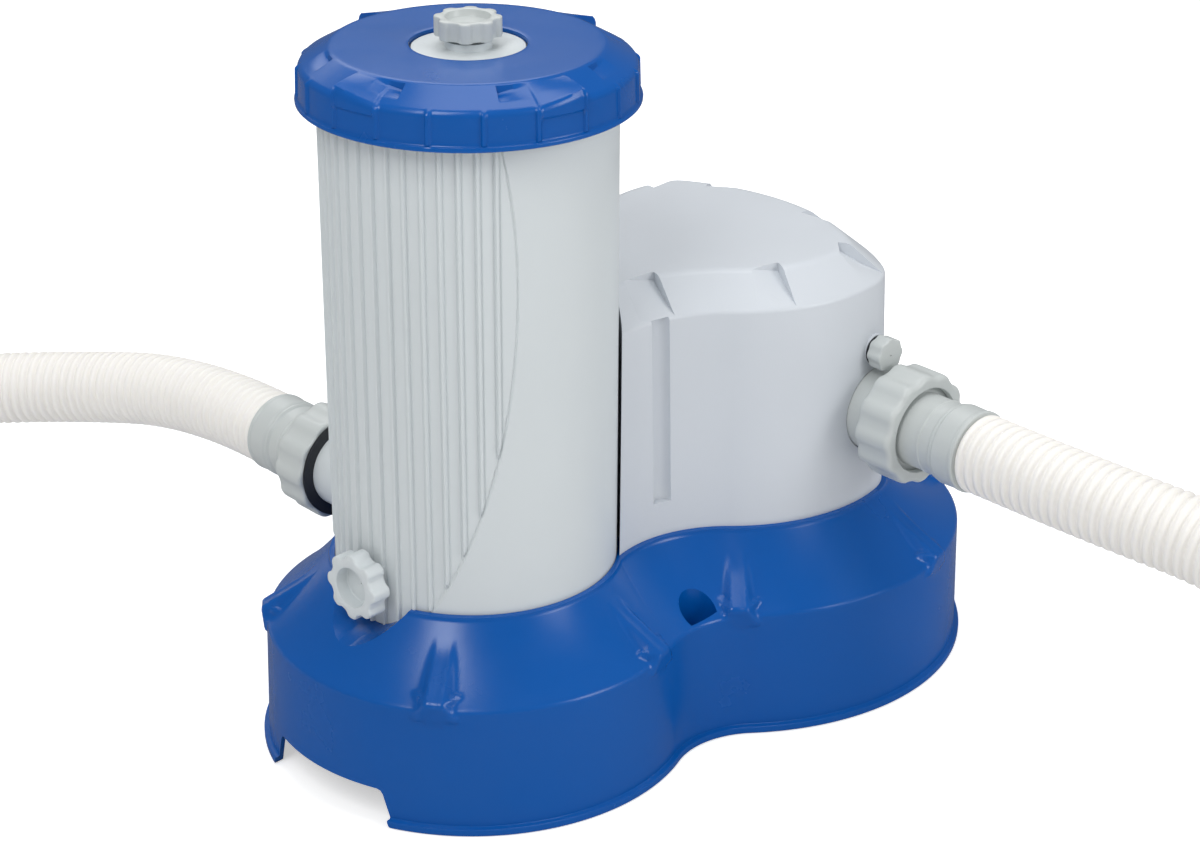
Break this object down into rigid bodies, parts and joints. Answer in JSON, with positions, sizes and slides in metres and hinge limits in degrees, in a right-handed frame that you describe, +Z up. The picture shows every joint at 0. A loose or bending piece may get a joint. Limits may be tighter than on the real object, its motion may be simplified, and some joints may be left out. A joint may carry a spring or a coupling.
{
  "type": "pool pump",
  "caption": "Pool pump with an upright cartridge filter canister beside a covered vertical pump on one base, with two corrugated hoses on union nuts.",
  "frame": {"origin": "on the floor, midway between the two fixing holes in the base", "axes": "+Z up, +X from the filter canister to the pump, outlet facing -Y"},
  "size_m": [0.8665, 1.1763, 0.4363],
  "materials": {
    "base_blue": "satin moulded plastic",
    "canister_grey": "satin moulded plastic",
    "cover_grey": "satin moulded plastic",
    "fitting_grey": "satin moulded plastic",
    "hose_white": "flexible corrugated plastic",
    "pump_black": "glass-filled moulded plastic",
    "seal_rubber": "moulded rubber",
    "filter_cloth": "pleated filter cloth",
    "cap_blue": "cast end cap",
    "steel": "bright steel",
    "stator_iron": "laminated iron",
    "magnet": "ferrite",
    "copper": "enamelled copper wire",
    "ceramic_white": "bush"
  },
  "bodies": {
    "pump_unit": {"base_shell": "base_blue", "filter_canister": "canister_grey", "canister_screws": "steel", "motor_cover": "cover_grey", "cover_screws": "steel", "cable_gland_body": "pump_black", "cable_gland_nut": "pump_black", "pump_bracket": "pump_black", "pump_volute": "fitting_grey", "volute_gasket": "seal_rubber", "volute_cover": "pump_black", "lower_shaft_bush": "ceramic_white", "pump_screws": "steel", "rotor_can": "steel", "upper_shaft_bush": "ceramic_white", "stator_core": "stator_iron", "stator_windings": "copper", "motor_can": "steel", "suction_duct": "pump_black", "inlet_hose": "hose_white", "inlet_hose_cuff": "fitting_grey", "inlet_hose_tail": "fitting_grey", "inlet_far_cuff": "fitting_grey", "inlet_far_tail": "fitting_grey", "inlet_union_gasket": "seal_rubber", "outlet_hose": "hose_white", "outlet_hose_cuff": "fitting_grey", "outlet_hose_tail": "fitting_grey", "outlet_far_cuff": "fitting_grey", "outlet_far_tail": "fitting_grey", "outlet_union_gasket": "seal_rubber"},
    "rotor": {"impeller": "pump_black", "rotor_magnet": "magnet", "rotor_shaft": "steel"},
    "lid": {"top_cover": "canister_grey", "cover_seal": "seal_rubber"},
    "lock_ring": {"lock_ring": "base_blue"},
    "cartridge": {"cartridge_pleats": "filter_cloth", "cartridge_top_cap": "cap_blue", "cartridge_bottom_cap": "cap_blue", "cartridge_core": "ceramic_white"},
    "air_valve_seal": {"air_valve_o_ring": "seal_rubber"},
    "air_valve_knob": {"air_valve_knob": "fitting_grey"},
    "drain_valve_seal": {"drain_valve_o_ring": "seal_rubber"},
    "drain_valve_knob": {"drain_valve_knob": "fitting_grey"},
    "vent_plug_seal": {"vent_plug_o_ring": "seal_rubber"},
    "vent_plug": {"vent_plug": "cover_grey"},
    "inlet_nut": {"inlet_union_nut": "fitting_grey"},
    "outlet_nut": {"outlet_union_nut": "fitting_grey"},
    "inlet_end_nut": {"inlet_far_nut": "fitting_grey"},
    "outlet_end_nut": {"outlet_far_nut": "fitting_grey"}
  },
  "joints": [
    {"name": "rotor_spin", "type": "hinge", "parent": "pump_unit", "child": "rotor", "pos_m": [0.112, 0, 0.2], "axis": [0, 0, 1], "continuous": true},
    {"name": "cover_lift", "type": "slide", "parent": "pump_unit", "child": "lid", "axis": [0, 0, 1], "range_m": [0, 0.62]},
    {"name": "cartridge_lift", "type": "slide", "parent": "pump_unit", "child": "cartridge", "axis": [0, 0, 1], "range_m": [0, 0.31]},
    {"name": "lock_ring_turn", "type": "hinge", "parent": "lid", "child": "lock_ring", "pos_m": [-0.086, 0, 0.4], "axis": [0, 0, 1], "range_deg": [0, 450]},
    {"name": "air_valve_travel", "type": "slide", "parent": "lid", "child": "air_valve_seal", "axis": [0, 0, 1], "range_m": [0, 0.00805]},
    {"name": "air_valve_turn", "type": "hinge", "parent": "air_valve_seal", "child": "air_valve_knob", "pos_m": [-0.086, 0, 0.43], "axis": [0, 0, 1], "range_deg": [0, 720]},
    {"name": "drain_valve_travel", "type": "slide", "parent": "pump_unit", "child": "drain_valve_seal", "axis": [-0.9976, -0.0698, 0], "range_m": [0, 0.00805]},
    {"name": "drain_valve_turn", "type": "hinge", "parent": "drain_valve_seal", "child": "drain_valve_knob", "pos_m": [-0.17578, -0.00628, 0.1265], "axis": [-0.9976, -0.0698, 0], "range_deg": [0, 720]},
    {"name": "vent_plug_travel", "type": "slide", "parent": "pump_unit", "child": "vent_plug_seal", "axis": [0, -1, 0], "range_m": [0, 0.00403]},
    {"name": "vent_plug_turn", "type": "hinge", "parent": "vent_plug_seal", "child": "vent_plug", "pos_m": [0.1395, -0.105, 0.21], "axis": [0, -1, 0], "range_deg": [0, 360]},
    {"name": "inlet_nut_turn", "type": "hinge", "parent": "pump_unit", "child": "inlet_nut", "pos_m": [-0.086, 0.139, 0.124], "axis": [0, 1, 0], "continuous": true},
    {"name": "outlet_nut_turn", "type": "hinge", "parent": "pump_unit", "child": "outlet_nut", "pos_m": [0.139, -0.132, 0.172], "axis": [0, -1, 0], "continuous": true},
    {"name": "inlet_end_nut_turn", "type": "hinge", "parent": "pump_unit", "child": "inlet_end_nut", "pos_m": [-0.47, -0.36199, 0.03909], "axis": [0.3703, -0.9258, 0.0757], "continuous": true},
    {"name": "outlet_end_nut_turn", "type": "hinge", "parent": "pump_unit", "child": "outlet_end_nut", "pos_m": [-0.43026, -0.0709, 0.04031], "axis": [-0.153, 0.9833, 0.0983], "continuous": true}
  ],
  "couplings": [
    {"joint": "cartridge_lift", "follows": "cover_lift", "ratio": 0.5},
    {"joint": "air_valve_travel", "follows": "air_valve_turn", "m_per_rad": 0.00063662},
    {"joint": "drain_valve_travel", "follows": "drain_valve_turn", "m_per_rad": 0.00063662},
    {"joint": "vent_plug_travel", "follows": "vent_plug_turn", "m_per_rad": 0.00063662}
  ]
}
